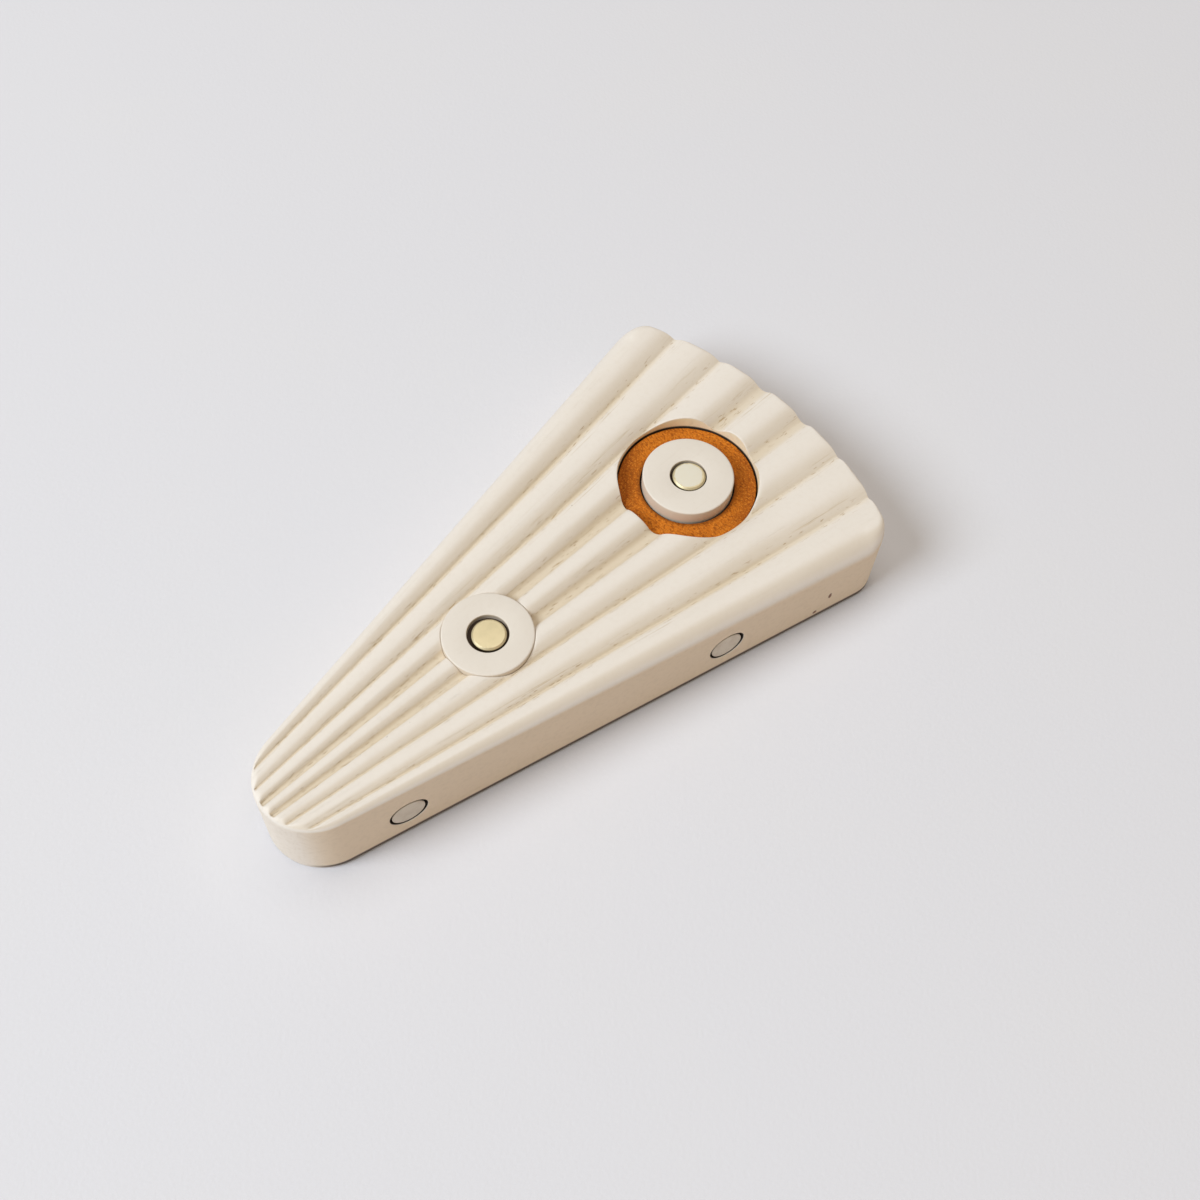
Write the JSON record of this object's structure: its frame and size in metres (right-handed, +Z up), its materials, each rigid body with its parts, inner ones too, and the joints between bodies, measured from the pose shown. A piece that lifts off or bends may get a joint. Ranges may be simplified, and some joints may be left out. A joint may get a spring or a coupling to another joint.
{
  "type": "door wedge",
  "caption": "Flat fan-shaped block, wedge-shaped in plan, with radial flutes on top and two round discs that turn on pins.",
  "frame": {"origin": "on the floor, under the middle of the block's length and width", "axes": "+X along the centre line from the narrow nose to the wide end, +Y to the left seen from the nose, +Z up"},
  "size_m": [0.151, 0.0822, 0.0217],
  "materials": {
    "painted_wood": "ivory paint over open-grained wood, satin-matt",
    "painted_disc": "ivory paint on turned wood, matt",
    "brass_pin": "bare turned brass, dulled and matt",
    "painted_pin": "brass with a thin smear of ivory paint",
    "painted_plug": "plated metal with a thin smear of ivory paint",
    "leather": "vegetable-tanned orange-brown leather, waxed"
  },
  "bodies": {
    "block": {"wedge_body": "painted_wood", "front_pin": "brass_pin", "rear_pin": "painted_pin", "leather_ring": "leather", "left_front_plug": "painted_plug", "left_rear_plug": "painted_plug", "right_front_plug": "painted_plug", "right_rear_plug": "painted_plug"},
    "front_disc": {"front_disc": "painted_disc"},
    "rear_disc": {"rear_disc": "painted_disc"}
  },
  "joints": [
    {"name": "front_disc_turn", "type": "hinge", "parent": "block", "child": "front_disc", "pos_m": [-0.0167, 0, 0.0199], "axis": [0, 0, 1], "continuous": true},
    {"name": "rear_disc_turn", "type": "hinge", "parent": "block", "child": "rear_disc", "pos_m": [0.0436, 0, 0.01885], "axis": [0, 0, 1], "continuous": true}
  ]
}
